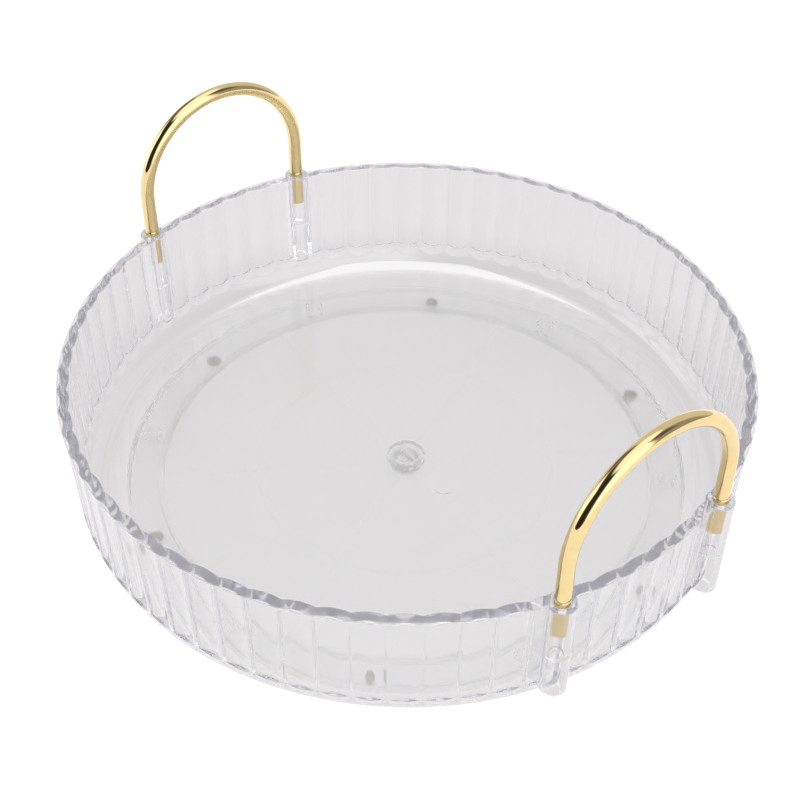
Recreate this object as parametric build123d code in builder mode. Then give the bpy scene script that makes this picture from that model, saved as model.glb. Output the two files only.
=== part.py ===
from build123d import *
import math
import os

os.makedirs("parts", exist_ok=True)

# ---------------------------------------------------------------------------
# Lazy susan turntable: a clear fluted tray with two polished rod handles,
# turning on a ring of small clear balls above a clear ribbed base plate.
# Millimetres, +Z up.  The origin is on the spin axis, in the plane of the
# table that the feet stand on.  The handles stand over +X and -X.
# ---------------------------------------------------------------------------

# ---- heights, from the table up --------------------------------------------
foot_stand = 1.2            # how far a foot pad stands proud of the base plate
foot_recess = 1.5           # depth of the pad's recess in the base plate
base_t = 2.0                # base plate
base_z0 = foot_stand
base_z1 = base_z0 + base_t  # ball track on the base plate
ball_d = 5.0
ball_gap = 0.02             # working clearance above and below a ball
ball_z = base_z1 + ball_gap + ball_d / 2
tray_z0 = base_z1 + ball_d + 2 * ball_gap   # underside of the tray floor
floor_t = 2.5
floor_z = tray_z0 + floor_t
rim_h = 56.0                # rim above the tray floor
rim_z = floor_z + rim_h

# ---- tray ------------------------------------------------------------------
tray_r = 140.0              # rim, outside radius
wall_foot_r = 138.1         # outside radius where the bottom corner starts
corner_ro = 14.0            # outside radius of the rounded bottom corner
corner_ri = 11.5            # inside radius of the same corner
inner_tip_r = 134.5         # inside wall, crest of a rib that bulges inwards
inner_cusp_r = 135.5        # inside wall, line between two ribs
flutes = 70
flute_r = 9.7               # radius of a flute's hollow
flute_top_r = 138.6         # deepest line of a flute under the lip, from the axis
flute_foot_r = 136.85       # and at its foot
lip_t = 1.0                 # plain lip above the flutes
flute_end = 0.6             # the flutes end this far below the corner's start
edge_r = 0.35               # softened moulded edges
lip_z = rim_z - lip_t
corner_z = tray_z0 + corner_ro
draft = math.atan((tray_r - wall_foot_r) / (lip_z - corner_z))
corner_r = (tray_r - (lip_z - corner_z + corner_ro * math.sin(draft)) * math.tan(draft)
            - corner_ro * math.cos(draft))

# ---- handle sockets ---------------------------------------------------------
socket_pos_r = 139.7        # socket axis, from the spin axis
socket_half_deg = 16.25     # half the angle between one handle's two sockets
socket_od = 11.0
socket_bore = 6.2
socket_len = 47.0           # from the rim down
socket_web_z = 26.6         # depth of the upper bore
socket_web_t = 1.2          # web between the upper and the lower bore

# ---- handles ----------------------------------------------------------------
rod_d = 6.0
rod_in = 14.7               # length pushed into the socket
leg_h = 17.5                # straight leg above the rim
groove_z = 1.9              # witness groove above the rim
serration_pitch = 1.05

# ---- centre pivot -----------------------------------------------------------
pin_d = 8.0
pin_head_d = 13.0
pin_head_t = 1.0
pin_barb_d = 10.8
pin_slot = 1.8
pin_deg = 84.24             # direction from one prong to the other
hub_d = 16.0
run_gap = 0.1               # radial running clearance round the pin

# ---- base plate -------------------------------------------------------------
track_r = 112.0             # pitch radius of the balls
rail_in_r0 = 104.3
rail_in_r1 = 105.7
rail_out_r0 = 118.2
base_r = 119.6
rail_h = 3.3
hub_ring_r = 63.6           # low ring half way out
spoke_deg0 = 56.24          # first of the six low spokes
spoke_w = 3.2
spoke_h = 0.35

# ---- ball cage --------------------------------------------------------------
balls = 6
ball_deg0 = 45.24
cage_r0 = 106.2
cage_r1 = 117.7
cage_t = 1.4
pocket_d = ball_d + 0.4
collar_d = 8.0

# ---- feet -------------------------------------------------------------------
foot_d = 6.4
foot_pos_r = track_r        # under the track, midway between the balls at rest
foot_deg0 = 15.24


def polar(r, deg):
    return (r * math.cos(math.radians(deg)), r * math.sin(math.radians(deg)))


# ---------------------------------------------------------------------------
# Tray
# ---------------------------------------------------------------------------
pitch = 360.0 / flutes
# Hollow of the tray: a prism whose wall is seventy shallow arcs that bulge
# inwards, cut off below by the round-cornered floor.  A line between two
# arcs lies on +X.
with BuildPart() as tray_hollow:
    with BuildSketch(Plane.XY.offset(floor_z)):
        with BuildLine():
            for i in range(flutes):
                ThreePointArc(
                    polar(inner_cusp_r, i * pitch),
                    polar(inner_tip_r, (i + 0.5) * pitch),
                    polar(inner_cusp_r, (i + 1) * pitch),
                )
        make_face()
    extrude(amount=rim_h + 2)
    with BuildSketch(Plane.XZ):
        with BuildLine():
            Line((0, floor_z), (corner_r, floor_z))
            RadiusArc((corner_r, floor_z),
                      (corner_r + corner_ri, floor_z + corner_ri), -corner_ri)
            Polyline((corner_r + corner_ri, floor_z + corner_ri),
                     (corner_r + corner_ri, rim_z + 3), (0, rim_z + 3),
                     (0, floor_z))
        make_face()
    revolve(axis=Axis.Z, mode=Mode.INTERSECT)

# One flute's hollow: a round bar that leans in towards its foot
flute_z0 = corner_z - flute_end
lean = (flute_top_r - flute_foot_r, 0, lip_z - flute_z0)
with BuildPart() as flute:
    with BuildSketch(Plane.XY.offset(flute_z0)):
        with Locations((flute_foot_r + flute_r, 0)):
            Circle(flute_r)
    extrude(amount=math.hypot(*lean), dir=lean)

with BuildPart() as tray:
    # outside: flat underside, round bottom corner, slightly conical wall, lip
    with BuildSketch(Plane.XZ):
        with BuildLine():
            Line((0, tray_z0), (corner_r, tray_z0))
            foot = (corner_r + corner_ro * math.cos(draft),
                    corner_z - corner_ro * math.sin(draft))
            RadiusArc((corner_r, tray_z0), foot, -corner_ro)
            Polyline(foot, (tray_r, lip_z), (tray_r, rim_z - edge_r),
                     (tray_r - edge_r, rim_z), (0, rim_z), (0, tray_z0))
        make_face()
    revolve(axis=Axis.Z)
    # flutes: slanted hollows between the lip and the bottom corner
    with PolarLocations(0, flutes, start_angle=pitch / 2):
        add(flute.part, mode=Mode.SUBTRACT)
    # handle sockets: four tubes in the wall, joined to it by a short web
    for side in (0, 180):
        for s in (-1, 1):
            deg = side + s * socket_half_deg
            with BuildSketch(Plane.XY.offset(rim_z)):
                with Locations(polar(socket_pos_r, deg)):
                    Circle(socket_od / 2)
            extrude(amount=-socket_len)
    # inside
    add(tray_hollow.part, mode=Mode.SUBTRACT)
    # the tubes stay whole where they stand proud of the inside wall
    for side in (0, 180):
        for s in (-1, 1):
            deg = side + s * socket_half_deg
            with BuildSketch(Plane.XY.offset(rim_z)):
                with Locations(polar(socket_pos_r, deg)):
                    Circle(socket_od / 2)
            extrude(amount=-socket_len)
    # bores, from above and from below, with a web between them
    for side in (0, 180):
        for s in (-1, 1):
            deg = side + s * socket_half_deg
            with BuildSketch(Plane.XY.offset(rim_z)):
                with Locations(polar(socket_pos_r, deg)):
                    Circle(socket_bore / 2)
            extrude(amount=-socket_web_z, mode=Mode.SUBTRACT)
            with BuildSketch(Plane.XY.offset(rim_z - socket_len)):
                with Locations(polar(socket_pos_r, deg)):
                    Circle(socket_bore / 2)
            extrude(amount=socket_len - socket_web_z - socket_web_t,
                    mode=Mode.SUBTRACT)
    # hub under the floor: snaps over the pin's prongs
    with BuildSketch(Plane.XY.offset(tray_z0 - 3.8)):
        Circle(hub_d / 2)
    extrude(amount=3.8 + 0.5)
    with BuildSketch(Plane.XY.offset(tray_z0 - 3.8)):
        Circle(pin_d / 2 + run_gap)
    extrude(amount=3.8, mode=Mode.SUBTRACT)
    with BuildSketch(Plane.XY.offset(tray_z0 - 2.6)):
        Circle(pin_barb_d / 2 + 0.3)
    extrude(amount=2.6, mode=Mode.SUBTRACT)
tray.part.label = "tray"
export_step(tray.part, "parts/tray.step")

# ---------------------------------------------------------------------------
# Handles: one bent rod each, two straight legs and a half circle, with
# serrated ends that are pushed into the sockets
# ---------------------------------------------------------------------------
hx, hy = polar(socket_pos_r, socket_half_deg)


def serrated(x, y):
    # outline of one leg's end, from its axis outwards, bottom to top
    r = rod_d / 2
    z = rim_z - rod_in
    pts = [(0, z), (r - 0.4, z), (r + 0.06, z + 0.5)]
    z += 0.5
    n = int((rod_in - 2.0) / serration_pitch)
    for k in range(n):
        pts += [(r + 0.06, z + 0.45 * serration_pitch),
                (r - 0.18, z + 0.70 * serration_pitch),
                (r + 0.06, z + 0.95 * serration_pitch)]
        z += serration_pitch
    pts += [(r + 0.06, z + 0.2), (r, z + 0.5)]
    g = rim_z + groove_z
    pts += [(r, g - 0.35), (r - 0.22, g - 0.1), (r - 0.22, g + 0.1), (r, g + 0.35)]
    pts += [(r, rim_z + 3), (0, rim_z + 3), (0, rim_z - rod_in)]
    return pts


for name, side in (("handle_right", 1), ("handle_left", -1)):
    with BuildPart() as handle:
        with BuildLine() as path:
            Line((side * hx, -hy, rim_z + 3), (side * hx, -hy, rim_z + leg_h))
            ThreePointArc((side * hx, -hy, rim_z + leg_h),
                          (side * hx, 0, rim_z + leg_h + hy),
                          (side * hx, hy, rim_z + leg_h))
            Line((side * hx, hy, rim_z + leg_h), (side * hx, hy, rim_z + 3))
        with BuildSketch(Plane(origin=(side * hx, -hy, rim_z + 3), z_dir=(0, 0, 1))):
            Circle(rod_d / 2)
        sweep(path=path.line)
        for s in (-1, 1):
            leg = Plane(origin=(side * hx, s * hy, 0), x_dir=(1, 0, 0),
                        z_dir=(0, -1, 0))
            with BuildSketch(leg):
                with BuildLine():
                    Polyline(*serrated(side * hx, s * hy))
                make_face()
            revolve(axis=Axis((side * hx, s * hy, 0), (0, 0, 1)))
    handle.part.label = name
    export_step(handle.part, "parts/" + name + ".step")

# ---------------------------------------------------------------------------
# Base plate: a disc with a ball track between two rails, a low ring, six low
# spokes, a hub and recesses for the feet
# ---------------------------------------------------------------------------
with BuildPart() as base:
    with BuildSketch(Plane.XZ):
        with BuildLine():
            Polyline((0, base_z0), (base_r - 0.6, base_z0), (base_r, base_z0 + 0.6),
                     (base_r, base_z1 + rail_h - 0.3),
                     (base_r - 0.3, base_z1 + rail_h),
                     (rail_out_r0 + 0.3, base_z1 + rail_h),
                     (rail_out_r0, base_z1 + rail_h - 0.3),
                     (rail_out_r0, base_z1), (rail_in_r1, base_z1),
                     (rail_in_r1, base_z1 + rail_h - 0.3),
                     (rail_in_r1 - 0.3, base_z1 + rail_h),
                     (rail_in_r0 + 0.3, base_z1 + rail_h),
                     (rail_in_r0, base_z1 + rail_h - 0.3),
                     (rail_in_r0, base_z1),
                     (hub_ring_r + 1.1, base_z1),
                     (hub_ring_r + 0.5, base_z1 + spoke_h),
                     (hub_ring_r - 0.5, base_z1 + spoke_h),
                     (hub_ring_r - 1.1, base_z1),
                     (hub_d / 2, base_z1), (hub_d / 2, base_z1 + spoke_h),
                     (0, base_z1 + spoke_h), (0, base_z0))
        make_face()
    revolve(axis=Axis.Z)
    # six low spokes with sloping sides
    with BuildSketch(Plane.XY.offset(base_z1)):
        with PolarLocations((hub_d / 2 - 1 + rail_in_r0 + 0.5) / 2, 6,
                            start_angle=spoke_deg0):
            Rectangle(rail_in_r0 + 0.5 - hub_d / 2 + 1, spoke_w)
    extrude(amount=spoke_h, taper=60)
    # pin bore and the counterbore for its head
    with BuildSketch(Plane.XY.offset(base_z0)):
        Circle(pin_d / 2 + 0.03)
    extrude(amount=base_t + spoke_h, mode=Mode.SUBTRACT)
    with BuildSketch(Plane.XY.offset(base_z0)):
        Circle(pin_head_d / 2 + 0.2)
    extrude(amount=1.2, mode=Mode.SUBTRACT)
    # feet recesses
    with BuildSketch(Plane.XY.offset(base_z0)):
        with PolarLocations(foot_pos_r, 6, start_angle=foot_deg0):
            Circle(foot_d / 2 + 0.1)
    extrude(amount=foot_recess, mode=Mode.SUBTRACT)
base.part.label = "base"
export_step(base.part, "parts/base.step")

# ---------------------------------------------------------------------------
# Centre pin: head below the base plate, shank through its bore, and two
# barbed prongs that hold the tray down
# ---------------------------------------------------------------------------
pin_z0 = base_z0 + 0.2
pin_z1 = base_z0 + 1.2 - 0.02          # top of the head
barb_z = tray_z0 - 2.6 + 0.3           # underside of the barbs
pin_top = tray_z0 - 0.4
with BuildPart() as center_pin:
    with BuildSketch(Plane.XZ):
        with BuildLine():
            Polyline((0, pin_z0), (pin_head_d / 2 - 0.3, pin_z0),
                     (pin_head_d / 2, pin_z0 + 0.3), (pin_head_d / 2, pin_z1),
                     (pin_d / 2, pin_z1), (pin_d / 2, barb_z),
                     (pin_barb_d / 2, barb_z), (pin_barb_d / 2, barb_z + 0.35),
                     (pin_d / 2 - 0.2, pin_top), (0, pin_top), (0, pin_z0))
        make_face()
    revolve(axis=Axis.Z)
    # slot that splits the shank into two prongs
    with BuildSketch(Plane.XY.offset(pin_z1 + 0.8)):
        Rectangle(pin_slot, pin_barb_d + 2, rotation=pin_deg)
    extrude(amount=10, mode=Mode.SUBTRACT)
center_pin.part.label = "center_pin"
export_step(center_pin.part, "parts/center_pin.step")

# ---------------------------------------------------------------------------
# Ball cage: a flat ring with a collared pocket for each ball
# ---------------------------------------------------------------------------
cage_z0 = base_z1 + 1.5
with BuildPart() as ball_cage:
    with BuildSketch(Plane.XY.offset(cage_z0)):
        Circle(cage_r1)
        Circle(cage_r0, mode=Mode.SUBTRACT)
    extrude(amount=cage_t)
    with BuildSketch(Plane.XY.offset(base_z1 + 0.3)):
        with PolarLocations(track_r, balls, start_angle=ball_deg0):
            Circle(collar_d / 2)
    extrude(amount=3.6)
    with BuildSketch(Plane.XY.offset(base_z1)):
        with PolarLocations(track_r, balls, start_angle=ball_deg0):
            Circle(pocket_d / 2)
    extrude(amount=5, mode=Mode.SUBTRACT)
ball_cage.part.label = "ball_cage"
export_step(ball_cage.part, "parts/ball_cage.step")

# ---------------------------------------------------------------------------
# Balls: six clear balls, each free to roll in its own pocket
# ---------------------------------------------------------------------------
for i in range(balls):
    bx, by = polar(track_r, ball_deg0 + i * 360.0 / balls)
    with BuildPart() as ball:
        with Locations((bx, by, ball_z)):
            Sphere(ball_d / 2)
    ball.part.label = "ball_" + str(i + 1)
    export_step(ball.part, "parts/ball_" + str(i + 1) + ".step")

# ---------------------------------------------------------------------------
# Feet: six soft grey pads, each in a recess under the base plate
# ---------------------------------------------------------------------------
for i in range(6):
    fx, fy = polar(foot_pos_r, foot_deg0 + i * 60.0)
    with BuildPart() as foot:
        with BuildSketch(Plane.XY):
            with Locations((fx, fy)):
                Circle(foot_d / 2)
        extrude(amount=foot_stand + foot_recess - 0.02)
        chamfer(foot.faces().sort_by(Axis.Z)[0].edges(), 0.5)
    foot.part.label = "foot_" + str(i + 1)
    export_step(foot.part, "parts/foot_" + str(i + 1) + ".step")

print("rim %.2f  floor %.2f  top %.2f" % (rim_z, floor_z, rim_z + leg_h + hy + rod_d / 2))
print("handle legs at x %.3f y %.3f" % (hx, hy))
print("ball centre z %.3f" % ball_z)
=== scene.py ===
import math

import bmesh
import bpy
import numpy as np
from mathutils import Matrix, Vector


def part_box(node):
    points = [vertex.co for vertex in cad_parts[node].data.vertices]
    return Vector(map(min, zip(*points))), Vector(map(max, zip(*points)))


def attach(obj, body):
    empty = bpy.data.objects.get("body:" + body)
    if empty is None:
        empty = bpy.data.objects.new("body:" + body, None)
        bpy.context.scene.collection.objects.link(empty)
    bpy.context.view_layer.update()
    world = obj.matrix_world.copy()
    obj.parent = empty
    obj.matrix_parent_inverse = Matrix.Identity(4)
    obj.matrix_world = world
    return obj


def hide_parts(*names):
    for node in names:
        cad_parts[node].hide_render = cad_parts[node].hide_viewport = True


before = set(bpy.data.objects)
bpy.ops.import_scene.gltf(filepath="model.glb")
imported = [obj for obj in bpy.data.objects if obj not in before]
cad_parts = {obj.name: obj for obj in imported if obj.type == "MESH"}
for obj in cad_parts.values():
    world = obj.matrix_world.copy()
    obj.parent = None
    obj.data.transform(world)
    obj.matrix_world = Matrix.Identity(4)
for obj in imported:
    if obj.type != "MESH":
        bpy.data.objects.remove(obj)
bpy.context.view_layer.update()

# ---------------------------------------------------------------------------
# A clear fluted turntable tray with two polished rod handles, on a ring of
# clear balls.  Metres, spin axis on Z, the table at z = 0.  Lengths below are
# millimetres until a mesh is finished.
# ---------------------------------------------------------------------------
MM = 0.001
scene = bpy.context.scene

tray_lo, tray_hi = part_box("tray")
RIM_Z = tray_hi.z / MM                  # top of the rim
HUB_Z = tray_lo.z / MM                  # underside of the hub below the floor
Z0 = HUB_Z + 3.8                        # underside of the floor
FLOOR_Z = Z0 + 2.5                      # top of the floor
TRAY_R = 140.0
TIP_R, CUSP_R = 135.0, 136.0            # ribs inside, at the rim
IN_DRAFT = 0.70                         # how far the ribs lean in by the floor
N = 70
PITCH = 2 * math.pi / N
LIP = 0.9                               # the lip that stands out round the rim
LIP_ROUND, LIP_FILLET = 0.42, 0.5
Z_LIP = RIM_Z - LIP
CORNER_RO, CORNER_RI = 14.0, 11.5
Z_CORNER = Z0 + CORNER_RO
RIDGE_R = 139.6                         # ridges between the flutes, under the lip
FOOT_R = 138.1                          # and where the bottom corner starts
DRAFT = math.atan((RIDGE_R - FOOT_R) / (Z_LIP - Z_CORNER))
CORNER_R = (RIDGE_R - (Z_LIP - Z_CORNER + CORNER_RO * math.sin(DRAFT)) * math.tan(DRAFT)
            - CORNER_RO * math.cos(DRAFT))
UNDER = 0.04                            # slope of the lip's underside
TOP_IN, TOP_H = 0.6, 1.8                # how the flutes narrow under the lip
FLUTE_W = 5.35                          # half width of a flute
FLUTE_D0, FLUTE_D1 = 1.0, 1.25         # its depth under the lip and at its foot
SOCK_R, SOCK_DEG = 139.7, 16.25
SOCK_OD, SOCK_BORE, SOCK_LEN = 11.0, 6.2, 47.0
WEB_DEPTH, WEB_T = 26.6, 1.2
ROD_D, ROD_IN, LEG_H, GROOVE = 6.0, 14.7, 17.5, 1.9
PAD_BORE = 2.1


# ---------------------------------------------------------------------------
# mesh helpers
# ---------------------------------------------------------------------------
def mesh_object(name, verts, faces):
    me = bpy.data.meshes.new(name)
    me.from_pydata([tuple(v) for v in verts], [], faces)
    me.update()
    ob = bpy.data.objects.new(name, me)
    scene.collection.objects.link(ob)
    return ob


def revolved(name, profile, segs=96, at=(0.0, 0.0), turn=0.0):
    """Closed solid of revolution.  profile is (r, z) from axis to axis."""
    verts, rings = [], []
    for r, z in profile:
        if r < 1e-9:
            rings.append([len(verts)])
            verts.append((at[0], at[1], z))
        else:
            rings.append(list(range(len(verts), len(verts) + segs)))
            for k in range(segs):
                a = turn + 2 * math.pi * k / segs
                verts.append((at[0] + r * math.cos(a), at[1] + r * math.sin(a), z))
    faces = []
    for a, b in zip(rings, rings[1:]):
        for k in range(segs):
            k2 = (k + 1) % segs
            if len(a) == 1 and len(b) == 1:
                continue
            if len(a) == 1:
                faces.append((a[0], b[k], b[k2]))
            elif len(b) == 1:
                faces.append((a[k], b[0], a[k2]))
            else:
                faces.append((a[k], b[k], b[k2], a[k2]))
    ob = mesh_object(name, verts, faces)
    outward(ob)
    return ob


def outward(ob):
    bm = bmesh.new()
    bm.from_mesh(ob.data)
    bmesh.ops.recalc_face_normals(bm, faces=bm.faces)
    if bm.calc_volume(signed=True) < 0:
        bmesh.ops.reverse_faces(bm, faces=bm.faces)
    bm.to_mesh(ob.data)
    bm.free()


def join_or_cut(ob, others, operation):
    """Boolean of ob with each of the others, which are used up."""
    for other in others:
        m = ob.modifiers.new("b", "BOOLEAN")
        m.operation = operation
        m.object = other
        m.solver = "MANIFOLD"
    dg = bpy.context.evaluated_depsgraph_get()
    me = bpy.data.meshes.new_from_object(ob.evaluated_get(dg))
    ob.modifiers.clear()
    old = ob.data
    ob.data = me
    bpy.data.meshes.remove(old)
    for other in others:
        od = other.data
        bpy.data.objects.remove(other)
        bpy.data.meshes.remove(od)


def finish_mesh(ob, sharp_deg, weighted=True):
    """Millimetres to metres, smooth shading with the crisp edges kept."""
    ob.data.transform(Matrix.Scale(MM, 4))
    me = ob.data
    for p in me.polygons:
        p.use_smooth = True
    me.set_sharp_from_angle(angle=math.radians(sharp_deg))
    if weighted:
        m = ob.modifiers.new("normals", "WEIGHTED_NORMAL")
        m.keep_sharp = True
        m.weight = 80
    me.update()


def arc(cx, cz, r, a0, a1, n):
    return [(cx + r * math.cos(a0 + (a1 - a0) * i / n),
             cz + r * math.sin(a0 + (a1 - a0) * i / n)) for i in range(n + 1)]


def soften(points, k, t, n=3):
    """Replaces corner k of an open polyline by a small curve that starts and
    ends t away from it."""
    p, a, b = (np.array(points[i], float) for i in (k, k - 1, k + 1))
    u, v = a - p, b - p
    lu, lv = np.linalg.norm(u), np.linalg.norm(v)
    tu, tv = min(t, 0.49 * lu), min(t, 0.49 * lv)
    p0, p2 = p + u / lu * tu, p + v / lv * tv
    out = []
    for i in range(n + 1):
        s = i / n
        q = (1 - s) ** 2 * p0 + 2 * s * (1 - s) * p + s * s * p2
        out.append((float(q[0]), float(q[1])))
    return out


# ---------------------------------------------------------------------------
# tray
# ---------------------------------------------------------------------------
h = PITCH / 2
RIB_D = (CUSP_R ** 2 - TIP_R ** 2) / (2 * (CUSP_R * math.cos(h) - TIP_R))
RIB_RHO = RIB_D - TIP_R


def smooth_min(a, b, k):
    w = max(k - abs(a - b), 0.0) / k
    return min(a, b) - w * w * k * 0.25


def rib(al):
    return RIB_D * math.cos(al) - math.sqrt(max(RIB_RHO ** 2 - (RIB_D * math.sin(al)) ** 2, 0.0))


def inner_r(u):
    """Inside wall radius; u runs from -0.5 to 0.5 across one rib."""
    al = abs(u) * PITCH
    return smooth_min(rib(al), rib(PITCH - al), 0.16)


def wall_r(z):
    """Outside radius of the ridges between the flutes."""
    return RIDGE_R - (Z_LIP - z) * math.tan(DRAFT)


def flute_depth(u, z):
    """How deep the flute is; it narrows at its foot and under the lip."""
    t = (Z_LIP - z) / (Z_LIP - Z_CORNER)
    d = FLUTE_D0 + (FLUTE_D1 - FLUTE_D0) * t
    low = max(Z_CORNER + 3.2 - z, 0.0) / 3.2
    top = max(z - (Z_LIP - TOP_H), 0.0) / TOP_H
    w = FLUTE_W - 0.55 * low ** 2 - TOP_IN * top ** 2
    x = abs(u) * PITCH * wall_r(z)
    q = d * (1 - (x / w) ** 2)
    return max(-smooth_min(-q, -0.03, 0.36), 0.03)


def corner_out(z):
    """Outside radius on the rounded corner at height z."""
    return CORNER_R + math.sqrt(CORNER_RO ** 2 - (Z_CORNER - z) ** 2)


def tray_section(u):
    ri = inner_r(u)
    rf = ri - IN_DRAFT
    zc = FLOOR_Z + CORNER_RI
    phi = math.asin((rf - CORNER_R) / CORNER_RI)
    pts = [(112.0, FLOOR_Z)] + arc(CORNER_R, zc, CORNER_RI, -math.pi / 2,
                                   -math.pi / 2 + phi, 18)
    k = len(pts) - 1                                     # rib meets the corner
    zt = RIM_Z
    s = min(flute_depth(u, Z_CORNER) / FLUTE_D1, 1.0)
    z_in, z_out = Z_CORNER - 0.04 - 0.50 * s, Z_CORNER - 0.12 - 1.10 * s
    z_in2 = Z_LIP - UNDER * (TRAY_R - RIDGE_R + flute_depth(u, Z_LIP))
    dep = flute_depth(u, z_in2)
    f2 = min(0.22, 0.45 * flute_depth(u, z_in))
    pts.append((ri, zt))                                 # rim, inside edge
    pts.append((TRAY_R, zt))                             # rim, outside edge
    pts.append((TRAY_R, Z_LIP))
    pts.append((wall_r(z_in2) - dep, z_in2))
    down = []
    for dz in (2.4, 2.8, 3.2, 3.6, 10.0, 20.0, 30.0):
        down.append((wall_r(RIM_Z - dz) - flute_depth(u, RIM_Z - dz), RIM_Z - dz))
    for dz in (7.5, 4.2, 3.0, 2.2, 1.4, 0.7):
        zz = Z_CORNER + dz
        down.append((wall_r(zz) - flute_depth(u, zz), zz))
    pts += down
    j = len(pts)                                         # foot of the flute
    pts.append((wall_r(z_in) - flute_depth(u, z_in), z_in))
    pts.append((corner_out(z_out), z_out))
    a0 = -math.asin((Z_CORNER - z_out) / CORNER_RO)
    pts += arc(CORNER_R, Z_CORNER, CORNER_RO, a0 - 0.03, -math.pi / 2, 22)
    pts.append((112.0, Z0))
    out = pts[:k]
    out += soften(pts, k, 0.45, 4)
    out += soften(pts, k + 1, 0.55, 4)
    out.append(((ri + TRAY_R) / 2, zt))
    out += soften(pts, k + 2, LIP_ROUND, 7)
    out += soften(pts, k + 3, LIP_ROUND, 7)
    out += soften(pts, k + 4, LIP_FILLET, 5)
    out += pts[k + 5:j]
    out += soften(pts, j, f2, 3)
    out += soften(pts, j + 1, f2, 3)
    out += pts[j + 2:]
    return out


def tray_shell():
    half = [0.0, 0.05, 0.10, 0.15, 0.20, 0.25, 0.30, 0.34, 0.38, 0.41, 0.435,
            0.455, 0.468, 0.476, 0.481, 0.485, 0.489, 0.493, 0.497]
    us = [-x for x in reversed(half[1:])] + half + [0.5]
    secs = [tray_section(u) for u in us]
    m = len(secs[0])
    verts, cols = [], []
    for i in range(N):
        for u, s in zip(us, secs):
            a = (i + 0.5 + u) * PITCH
            c, sn = math.cos(a), math.sin(a)
            cols.append(len(verts))
            verts += [(r * c, r * sn, z) for r, z in s]
    faces = []
    nc = len(cols)
    for i in range(nc):
        a, b = cols[i], cols[(i + 1) % nc]
        for j in range(m - 1):
            faces.append((a + j, b + j, b + j + 1, a + j + 1))
    faces.append(tuple(c for c in cols))
    faces.append(tuple(c + m - 1 for c in reversed(cols)))
    ob = mesh_object("tray_clear", verts, faces)
    outward(ob)
    return ob


def socket_places():
    for side in (0, 180):
        for s in (-1, 1):
            a = math.radians(side + s * SOCK_DEG)
            yield SOCK_R * math.cos(a), SOCK_R * math.sin(a)


def make_tray():
    tray = tray_shell()
    zb = RIM_Z - SOCK_LEN
    r = SOCK_OD / 2
    tubes = []
    for x, y in socket_places():
        pr = [(0, RIM_Z)] + [(r - 0.9 + 0.9 * math.sin(q * math.pi / 12),
                              RIM_Z - 0.9 + 0.9 * math.cos(q * math.pi / 12))
                             for q in range(7)]
        pr += [(r - 1.4 + 1.4 * math.cos(q * math.pi / 16),
                zb + 1.4 - 1.4 * math.sin(q * math.pi / 16)) for q in range(9)]
        pr += [(0, zb)]
        tubes.append(revolved("tube", pr, 112, (x, y)))
    hub = revolved("hub", [(0, Z0 + 0.5), (8.0, Z0 + 0.5), (8.0, HUB_Z + 0.35),
                           (7.9, HUB_Z + 0.1), (7.65, HUB_Z), (0, HUB_Z)], 128)
    gate = revolved("gate", [(0, Z0 + 0.4), (4.1, Z0 + 0.4), (4.1, Z0 - 0.03),
                             (3.9, Z0 - 0.09), (3.6, Z0 - 0.12), (3.2, Z0 - 0.11),
                             (2.7, Z0 - 0.05), (0, Z0 - 0.02)], 64, (25.7, 0.1))
    join_or_cut(tray, tubes + [hub, gate], "UNION")
    b = SOCK_BORE / 2
    cuts = []
    for x, y in socket_places():
        zw = RIM_Z - WEB_DEPTH
        cuts.append(revolved("bore", [
            (0, RIM_Z + 1), (b + 0.7, RIM_Z + 1), (b + 0.6, RIM_Z), (b + 0.28, RIM_Z - 0.12),
            (b + 0.1, RIM_Z - 0.32), (b, RIM_Z - 0.7), (b, zw + 0.25), (b - 0.08, zw + 0.07),
            (b - 0.25, zw), (0, zw)],
            96, (x, y)))
        zt = zw - WEB_T
        cuts.append(revolved("bore", [
            (0, zt), (b - 0.25, zt), (b - 0.08, zt - 0.07), (b, zt - 0.25), (b, zb + 0.7),
            (b + 0.15, zb + 0.25), (b + 0.6, zb), (b + 0.6, zb - 1), (0, zb - 1)],
            96, (x, y)))
    cuts.append(revolved("bore", [(0, Z0), (5.7, Z0), (5.7, Z0 - 2.6), (4.1, Z0 - 2.6),
                                  (4.1, HUB_Z + 0.3), (4.4, HUB_Z), (4.4, HUB_Z - 1),
                                  (0, HUB_Z - 1)], 128))
    join_or_cut(tray, cuts, "DIFFERENCE")
    finish_mesh(tray, 38)
    return tray


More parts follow.
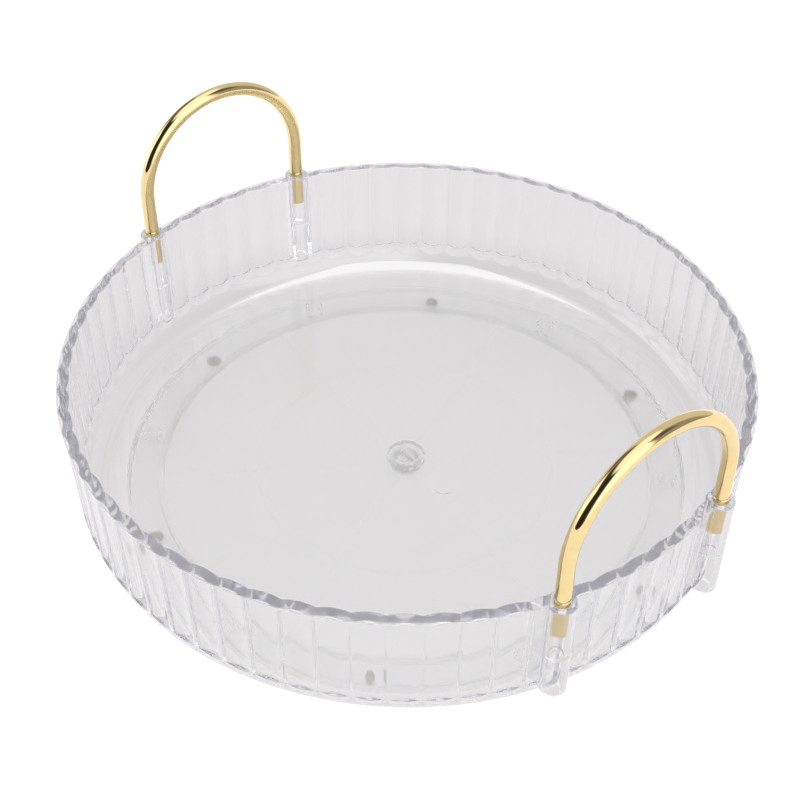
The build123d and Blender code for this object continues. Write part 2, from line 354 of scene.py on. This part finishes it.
# ---------------------------------------------------------------------------
# handles
# ---------------------------------------------------------------------------
def make_handle(name, side):
    a = math.radians(SOCK_DEG)
    hx, hy = SOCK_R * math.cos(a), SOCK_R * math.sin(a)
    r = ROD_D / 2
    z = RIM_Z - ROD_IN
    leg = [(z, 0.0), (z, r - 0.55), (z + 0.06, r - 0.4), (z + 0.42, r + 0.03), (z + 0.5, r + 0.06)]
    z += 0.5
    for _ in range(int((ROD_IN - 2.0) / 1.05)):
        leg += [(z + 0.40, r + 0.06), (z + 0.50, r + 0.04), (z + 0.66, r - 0.03),
                (z + 0.735, r - 0.04), (z + 0.80, r - 0.03), (z + 0.95, r + 0.04),
                (z + 1.05, r + 0.06)]
        z += 1.05
    leg += [(z + 0.2, r + 0.06), (z + 0.5, r)]
    g = RIM_Z + GROOVE
    leg += [(g - 0.6, r), (g - 0.38, r - 0.01), (g - 0.2, r - 0.15), (g - 0.08, r - 0.22),
            (g + 0.08, r - 0.22), (g + 0.2, r - 0.15), (g + 0.38, r - 0.01), (g + 0.6, r)]
    z = g + 0.6
    top = RIM_Z + LEG_H
    while z + 1.2 < top:
        z += 1.2
        leg.append((z, r))
    rings = [((0.0, -hy, zz), (0.0, 0.0, 1.0), rr) for zz, rr in leg]
    n = 128
    for i in range(n + 1):
        t = math.pi * i / n
        rings.append(((0.0, -hy * math.cos(t), top + hy * math.sin(t)),
                      (0.0, math.sin(t), math.cos(t)), r))
    rings += [((0.0, hy, zz), (0.0, 0.0, -1.0), rr) for zz, rr in reversed(leg)]
    segs = 72
    verts, idx = [], []
    for (px, py, pz), (tx, ty, tz), rr in rings:
        if rr == 0.0:
            idx.append([len(verts)])
            verts.append((side * hx + px, py, pz))
            continue
        idx.append(list(range(len(verts), len(verts) + segs)))
        for k in range(segs):
            q = 2 * math.pi * k / segs
            # n1 is X, n2 is the tangent turned a quarter in the arch's plane
            n2 = (0.0, tz, -ty)
            verts.append((side * hx + px + rr * math.cos(q),
                          py + rr * math.sin(q) * n2[1],
                          pz + rr * math.sin(q) * n2[2]))
    faces = []
    for a0, b0 in zip(idx, idx[1:]):
        for k in range(segs):
            k2 = (k + 1) % segs
            if len(a0) == 1:
                faces.append((a0[0], b0[k], b0[k2]))
            elif len(b0) == 1:
                faces.append((a0[k], b0[0], a0[k2]))
            else:
                faces.append((a0[k], b0[k], b0[k2], a0[k2]))
    ob = mesh_object(name, verts, faces)
    outward(ob)
    finish_mesh(ob, 60, weighted=False)
    return ob


# ---------------------------------------------------------------------------
# materials
# ---------------------------------------------------------------------------
class Nodes:
    def __init__(self, tree):
        self.t = tree
        tree.nodes.clear()

    def new(self, kind, **values):
        n = self.t.nodes.new(kind)
        for k, v in values.items():
            setattr(n, k, v)
        return n

    def put(self, value, socket):
        if isinstance(value, bpy.types.NodeSocket):
            self.t.links.new(value, socket)
        else:
            socket.default_value = value

    def math(self, op, a, b=None, c=None):
        n = self.new("ShaderNodeMath", operation=op)
        for s, v in zip(n.inputs, (a, b, c)):
            if v is not None:
                self.put(v, s)
        return n.outputs[0]

    def smooth(self, value, lo, hi, out_lo=0.0, out_hi=1.0):
        n = self.new("ShaderNodeMapRange", interpolation_type="SMOOTHSTEP")
        for key, v in (("Value", value), ("From Min", lo), ("From Max", hi),
                       ("To Min", out_lo), ("To Max", out_hi)):
            self.put(v, n.inputs[key])
        return n.outputs["Result"]

    def noise(self, vector, scale, detail=2.0, rough=0.5):
        n = self.new("ShaderNodeTexNoise")
        self.put(vector, n.inputs["Vector"])
        n.inputs["Scale"].default_value = scale
        n.inputs["Detail"].default_value = detail
        n.inputs["Roughness"].default_value = rough
        return n.outputs["Fac"]


def new_material(name):
    m = bpy.data.materials.new(name)
    m.use_nodes = True
    n = Nodes(m.node_tree)
    out = n.new("ShaderNodeOutputMaterial")
    bsdf = n.new("ShaderNodeBsdfPrincipled")
    m.node_tree.links.new(bsdf.outputs[0], out.inputs["Surface"])
    coord = n.new("ShaderNodeTexCoord").outputs["Object"]
    return m, n, bsdf, coord


def bump(n, height, distance, strength=1.0):
    b = n.new("ShaderNodeBump")
    b.inputs["Strength"].default_value = strength
    b.inputs["Distance"].default_value = distance
    n.put(height, b.inputs["Height"])
    return b.outputs[0]


def clear_material(name, colour, ior, rough_lo, rough_hi, ripple, floor_rough=None,
                   top_rough=0.20, clarity=1.0, density=0.0, tint=(0.9, 0.9, 1.0)):
    """Moulded clear plastic: a faint flow ripple and patches of finer and
    duller polish."""
    m, n, bsdf, co = new_material(name)
    bsdf.inputs["Base Color"].default_value = (*colour, 1)
    bsdf.inputs["Transmission Weight"].default_value = clarity
    if density > 0:
        vol = n.new("ShaderNodeVolumeAbsorption")
        vol.inputs["Color"].default_value = (*tint, 1)
        vol.inputs["Density"].default_value = density
        out = [x for x in m.node_tree.nodes if x.type == "OUTPUT_MATERIAL"][0]
        m.node_tree.links.new(vol.outputs[0], out.inputs["Volume"])
    bsdf.inputs["IOR"].default_value = ior
    patch = n.noise(co, 90.0, 3.0)
    rough = n.smooth(patch, 0.3, 0.7, rough_lo, rough_hi)
    if floor_rough is not None:
        sep = n.new("ShaderNodeSeparateXYZ")
        n.put(co, sep.inputs[0])
        r2 = n.math("SQRT", n.math("ADD", n.math("MULTIPLY", sep.outputs[0], sep.outputs[0]),
                                   n.math("MULTIPLY", sep.outputs[1], sep.outputs[1])))
        low = n.math("MULTIPLY", n.smooth(sep.outputs[2], (Z0 + 0.2) * MM, (Z0 + 0.9) * MM, 1.0, 0.0),
                     n.smooth(r2, 0.121, 0.125, 1.0, 0.0))
        fine = n.smooth(patch, 0.3, 0.7, floor_rough * 0.85, floor_rough * 1.15)
        rough = n.math("MULTIPLY_ADD", n.math("SUBTRACT", fine, rough), low, rough)
        top = n.math("MULTIPLY", n.smooth(sep.outputs[2], (FLOOR_Z + 0.2) * MM, (FLOOR_Z + 0.9) * MM, 1.0, 0.0),
                     n.smooth(sep.outputs[2], (FLOOR_Z - 0.6) * MM, (FLOOR_Z - 0.3) * MM))
        top = n.math("MULTIPLY", top, n.smooth(r2, 0.106, 0.122, 1.0, 0.0))
        satin = n.smooth(patch, 0.3, 0.7, top_rough * 0.9, top_rough * 1.1)
        rough = n.math("MULTIPLY_ADD", n.math("SUBTRACT", satin, rough), top, rough)
    n.put(rough, bsdf.inputs["Roughness"])
    wave = n.noise(co, 55.0, 1.0)
    fine = n.noise(co, 900.0, 2.0)
    height = n.math("MULTIPLY_ADD", fine, 0.05, wave)
    n.put(bump(n, height, ripple), bsdf.inputs["Normal"])
    return m


def gold_material(name):
    m, n, bsdf, co = new_material(name)
    bsdf.inputs["Metallic"].default_value = 1.0
    tone = n.noise(co, 240.0, 3.0)
    ramp = n.new("ShaderNodeValToRGB")
    n.put(tone, ramp.inputs[0])
    ramp.color_ramp.elements[0].position = 0.3
    ramp.color_ramp.elements[0].color = (0.760, 0.595, 0.290, 1)
    ramp.color_ramp.elements[1].position = 0.7
    ramp.color_ramp.elements[1].color = (0.800, 0.640, 0.330, 1)
    n.put(ramp.outputs[0], bsdf.inputs["Base Color"])
    n.put(n.smooth(n.noise(co, 500.0, 4.0), 0.35, 0.7, 0.035, 0.085), bsdf.inputs["Roughness"])
    wave = n.noise(co, 130.0, 1.0)
    fine = n.noise(co, 2600.0, 2.0)
    n.put(bump(n, n.math("MULTIPLY_ADD", fine, 0.02, wave), 0.00002), bsdf.inputs["Normal"])
    return m


def rubber_material(name):
    """Matt warm-grey rubber with a fine grain, a little chalky wear and a faint painted glow."""
    m, n, bsdf, co = new_material(name)
    tone = n.noise(co, 900.0, 3.0)
    ramp = n.new("ShaderNodeValToRGB")
    n.put(tone, ramp.inputs[0])
    ramp.color_ramp.elements[0].position = 0.3
    ramp.color_ramp.elements[0].color = (0.78, 0.745, 0.71, 1)
    ramp.color_ramp.elements[1].position = 0.7
    ramp.color_ramp.elements[1].color = (0.86, 0.825, 0.79, 1)
    n.put(ramp.outputs[0], bsdf.inputs["Base Color"])
    bsdf.inputs["Specular IOR Level"].default_value = 0.3
    # painted glow: a faint emission stands in for the table's light that comes up through the soft pad
    bsdf.inputs["Emission Color"].default_value = (1.0, 0.96, 0.92, 1)
    bsdf.inputs["Emission Strength"].default_value = 0.06
    n.put(n.smooth(n.noise(co, 1500.0, 3.0), 0.3, 0.7, 0.55, 0.75), bsdf.inputs["Roughness"])
    n.put(bump(n, n.noise(co, 3000.0, 3.0), 0.00002), bsdf.inputs["Normal"])
    return m


def set_material(ob, m):
    ob.data.materials.clear()
    ob.data.materials.append(m)


# ---------------------------------------------------------------------------
# build the pieces
# ---------------------------------------------------------------------------
clear = clear_material("clear_plastic", (1, 1, 1), 1.57, 0.012, 0.035, 0.000010, 0.12,
                       density=5.0, tint=(0.755, 0.76, 0.835))
clear_base = clear_material("clear_base", (1, 1, 1), 1.22, 0.32, 0.42, 0.000008,
                            clarity=0.93)
clear_cage = clear_material("clear_cage", (1, 1, 1), 1.10, 0.18, 0.26, 0.000008,
                            clarity=0.985)
gold = gold_material("gold")
clear_ball = clear_material("clear_ball", (1, 1, 1), 1.05, 0.16, 0.24, 0.000004)
rubber = rubber_material("grey_rubber")

tray = make_tray()
set_material(tray, clear)
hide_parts("tray")
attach(tray, "tray")

for nm, side in (("handle_right", 1), ("handle_left", -1)):
    ob = make_handle(nm + "_rod", side)
    set_material(ob, gold)
    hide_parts(nm)
    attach(ob, "tray")

for nm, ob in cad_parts.items():
    if nm in ("base", "center_pin"):
        set_material(ob, clear_base)
    elif nm == "ball_cage":
        set_material(ob, clear_cage)
    elif nm.startswith("ball_"):
        set_material(ob, clear_ball)

# foot pads: hollow plugs, softened at every edge
for nm in sorted(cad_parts):
    if not nm.startswith("foot_"):
        continue
    lo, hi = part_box(nm)
    at = ((lo.x + hi.x) / 2 / MM, (lo.y + hi.y) / 2 / MM)
    z0, z1, r, q = lo.z / MM, hi.z / MM, (hi.x - lo.x) / 2 / MM, PAD_BORE / 2
    ring = [(q, z0 + 0.3), (q + 0.1, z0 + 0.1), (q + 0.3, z0), (r - 0.55, z0),
            (r - 0.3, z0 + 0.08), (r - 0.1, z0 + 0.28), (r, z0 + 0.6), (r, z1 - 0.3),
            (r - 0.09, z1 - 0.09), (r - 0.3, z1), (q + 0.25, z1), (q + 0.08, z1 - 0.08),
            (q, z1 - 0.3), (q, z0 + 0.3)]
    pad = revolved(nm + "_pad", ring, 96, at)
    finish_mesh(pad, 50)
    set_material(pad, rubber)
    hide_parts(nm)
    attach(pad, "base")

# ---------------------------------------------------------------------------
# floor
# ---------------------------------------------------------------------------
# glow of the sheet under the tray, in its painted shadow ring and further out
FLOOR_IN, FLOOR_PAINTED_SHADOW, FLOOR_OUT = 0.745, 0.66, 0.745
floor = mesh_object("floor", [(x * 6, y * 6, -0.0002) for x, y in
                              ((-1, -1), (1, -1), (1, 1), (-1, 1))], [(0, 1, 2, 3)])
m, n, bsdf, co = new_material("floor_paper")
bsdf.inputs["Base Color"].default_value = (0.04, 0.04, 0.04, 1)
n.put(n.smooth(n.noise(co, 30.0, 3.0), 0.3, 0.7, 0.55, 0.7), bsdf.inputs["Roughness"])
bsdf.inputs["Specular IOR Level"].default_value = 0.1
bsdf.inputs["Emission Color"].default_value = (1.0, 0.980, 0.993, 1)
# painted shadow: the sheet's glow is turned down in a ring under the tray's corner, standing in for the shade
# that the tray's foot and wall cast
sep = n.new("ShaderNodeSeparateXYZ")
n.put(co, sep.inputs[0])
rad = n.math("SQRT", n.math("ADD", n.math("MULTIPLY", sep.outputs[0], sep.outputs[0]),
                            n.math("MULTIPLY", sep.outputs[1], sep.outputs[1])))
painted_shadow_ring = n.smooth(rad, 0.116, 0.132, FLOOR_IN, FLOOR_PAINTED_SHADOW)
n.put(n.math("ADD", painted_shadow_ring, n.smooth(rad, 0.150, 0.190, 0.0, FLOOR_OUT - FLOOR_PAINTED_SHADOW)),
      bsdf.inputs["Emission Strength"])
n.put(bump(n, n.noise(co, 400.0, 3.0), 0.00002), bsdf.inputs["Normal"])
# the sheet itself is overexposed, what shows through the plastic isn't
glow = n.new("ShaderNodeEmission")
glow.inputs["Color"].default_value = (1, 1, 1, 1)
glow.inputs["Strength"].default_value = 0.42
seen = n.new("ShaderNodeAddShader")
n.put(bsdf.outputs[0], seen.inputs[0])
n.put(glow.outputs[0], seen.inputs[1])
pick = n.new("ShaderNodeMixShader")
path = n.new("ShaderNodeLightPath")
gloss = n.math("MULTIPLY", path.outputs["Is Glossy Ray"],
               n.math("SUBTRACT", 1.0, path.outputs["Is Transmission Ray"]))
n.put(n.math("MAXIMUM", path.outputs["Is Camera Ray"], gloss), pick.inputs[0])
n.put(bsdf.outputs[0], pick.inputs[1])
n.put(seen.outputs[0], pick.inputs[2])
n.put(pick.outputs[0], [x for x in m.node_tree.nodes if x.type == "OUTPUT_MATERIAL"][0].inputs["Surface"])
set_material(floor, m)

# ---------------------------------------------------------------------------
# studio light: an overhead sheet, two upright softboxes and the dim gaps
# between them
# ---------------------------------------------------------------------------
AZ = 51.2383                    # camera's azimuth frame to the row frame
world = bpy.data.worlds.new("studio")
scene.world = world
world.use_nodes = True
w = Nodes(world.node_tree)
out = w.new("ShaderNodeOutputWorld")
sky = w.new("ShaderNodeBackground")
direction = w.new("ShaderNodeTexCoord").outputs["Generated"]
nv = w.new("ShaderNodeVectorMath", operation="NORMALIZE")
w.put(direction, nv.inputs[0])
sepd = w.new("ShaderNodeSeparateXYZ")
w.put(nv.outputs[0], sepd.inputs[0])
el = w.math("MULTIPLY", w.math("ARCSINE", sepd.outputs[2]), 180 / math.pi)
flat = w.math("SQRT", w.math("ADD", w.math("ADD", w.math("MULTIPLY", sepd.outputs[0], sepd.outputs[0]),
                                           w.math("MULTIPLY", sepd.outputs[1], sepd.outputs[1])), 1e-8))


def off(az):
    """Degrees between a direction and azimuth az."""
    a = math.radians(az + AZ)
    d = w.math("ADD", w.math("MULTIPLY", sepd.outputs[0], math.cos(a)),
               w.math("MULTIPLY", sepd.outputs[1], math.sin(a)))
    q = w.math("MINIMUM", w.math("MAXIMUM", w.math("DIVIDE", d, flat), -1.0), 1.0)
    return w.math("MULTIPLY", w.math("ARCCOSINE", q), 180 / math.pi)


def zone(level, az, half, e0, e1, value, s_az=6.0, s_el=5.0):
    mask = w.smooth(off(az), half - s_az, half + s_az, 1.0, 0.0)
    mask = w.math("MULTIPLY", mask, w.smooth(el, e0 - s_el, e0 + s_el))
    mask = w.math("MULTIPLY", mask, w.smooth(el, e1 - s_el, e1 + s_el, 1.0, 0.0))
    return w.math("MULTIPLY_ADD", w.math("SUBTRACT", value, level), mask, level)


level = 0.80
level = zone(level, -3, 26, -95, 62, 0.38, 8, 5)          # dim side
level = zone(level, -8, 14, 32, 62, 0.12, 7, 5)
level = zone(level, -60, 32, -95, 60, 1.9, 5, 5)          # softbox A
level = zone(level, -133, 34, -95, 58, 0.03, 9, 3)        # open dark gap
level = zone(level, 175, 26, 33, 58, 0.06, 8, 4)
level = zone(level, 133, 13, 8, 56, 0.16, 6, 5)
level = zone(level, 172, 19, -95, 34, 1.9, 5, 4)          # softbox B
cap = w.smooth(el, 57, 67)
level = w.math("MULTIPLY_ADD", w.math("SUBTRACT", 1.5, level), cap, level)
mix = w.new("ShaderNodeCombineColor")
lp = w.new("ShaderNodeLightPath")
# seen through the plastic the room is more even than seen in the gold
even = w.math("MULTIPLY_ADD", level, 0.30, 0.62)
level = w.math("MULTIPLY_ADD", w.math("SUBTRACT", even, level),
               lp.outputs["Is Transmission Ray"], level)
w.put(level, mix.inputs[0])
w.put(w.math("MULTIPLY", level, 0.985), mix.inputs[1])
w.put(level, mix.inputs[2])
w.put(mix.outputs[0], sky.inputs["Color"])
plain = w.new("ShaderNodeBackground")
plain.inputs["Color"].default_value = (1.1, 1.1, 1.1, 1)
ms = w.new("ShaderNodeMixShader")
w.put(lp.outputs["Is Camera Ray"], ms.inputs[0])
w.put(sky.outputs[0], ms.inputs[1])
w.put(plain.outputs[0], ms.inputs[2])
w.put(ms.outputs[0], out.inputs["Surface"])

# a soft lamp overhead, long in the camera's direction, whose gloss runs along
# the tray's corner and rim
LAMP_H, LAMP_Y0, LAMP_Y1, LAMP_W, LAMP_LEVEL = 1.2, -0.75, 0.45, 0.80, 1.9
lamp = bpy.data.lights.new("lamp", "AREA")
lamp.shape = "RECTANGLE"
lamp.size, lamp.size_y = LAMP_W, LAMP_Y1 - LAMP_Y0
lamp.energy = LAMP_LEVEL * math.pi * lamp.size * lamp.size_y
lamp_ob = bpy.data.objects.new("lamp", lamp)
scene.collection.objects.link(lamp_ob)
spin = Matrix.Rotation(math.radians(AZ), 4, "Z")
lamp_ob.matrix_world = spin @ Matrix.Translation((0, (LAMP_Y0 + LAMP_Y1) / 2, LAMP_H))
lit = bpy.data.collections.new("lamp_lights")
lit.objects.link(tray)
lamp_ob.light_linking.receiver_collection = lit

# ---------------------------------------------------------------------------
# camera at the viewing angle
# ---------------------------------------------------------------------------
R = 0.140
F, DIST, EL, ROLL, AX, AY = 1432.64, 4.1441, 40.3024, 0.7268, -0.0047, -0.0335
e, ro = math.radians(EL), math.radians(ROLL)
C = Vector((0, -DIST * math.cos(e), DIST * math.sin(e)))
fwd = -C.normalized()
right = Vector((1, 0, 0))
up = right.cross(fwd)
fwd2 = (fwd + AX * right + AY * up).normalized()
right2 = fwd2.cross(up).normalized()
up2 = right2.cross(fwd2)
cx = math.cos(ro) * right2 + math.sin(ro) * up2
cy = -math.sin(ro) * right2 + math.cos(ro) * up2
turn = Matrix.Rotation(math.radians(AZ), 3, "Z")
cam_data = bpy.data.cameras.new("camera")
cam = bpy.data.objects.new("camera", cam_data)
scene.collection.objects.link(cam)
cam_data.sensor_width = 36.0
cam_data.lens = 36.0 * F / 800.0
cam_data.clip_start, cam_data.clip_end = 0.01, 30.0
rot = Matrix((turn @ cx, turn @ cy, turn @ (-fwd2))).transposed()
cam.matrix_world = Matrix.Translation(turn @ (C * R) + Vector((0, 0, RIM_Z * MM))) @ rot.to_4x4()
scene.camera = cam

scene.view_settings.view_transform = "Standard"
scene.view_settings.look = "None"
scene.cycles.max_bounces = 72
scene.cycles.transmission_bounces = 72
scene.cycles.glossy_bounces = 72
scene.cycles.diffuse_bounces = 3
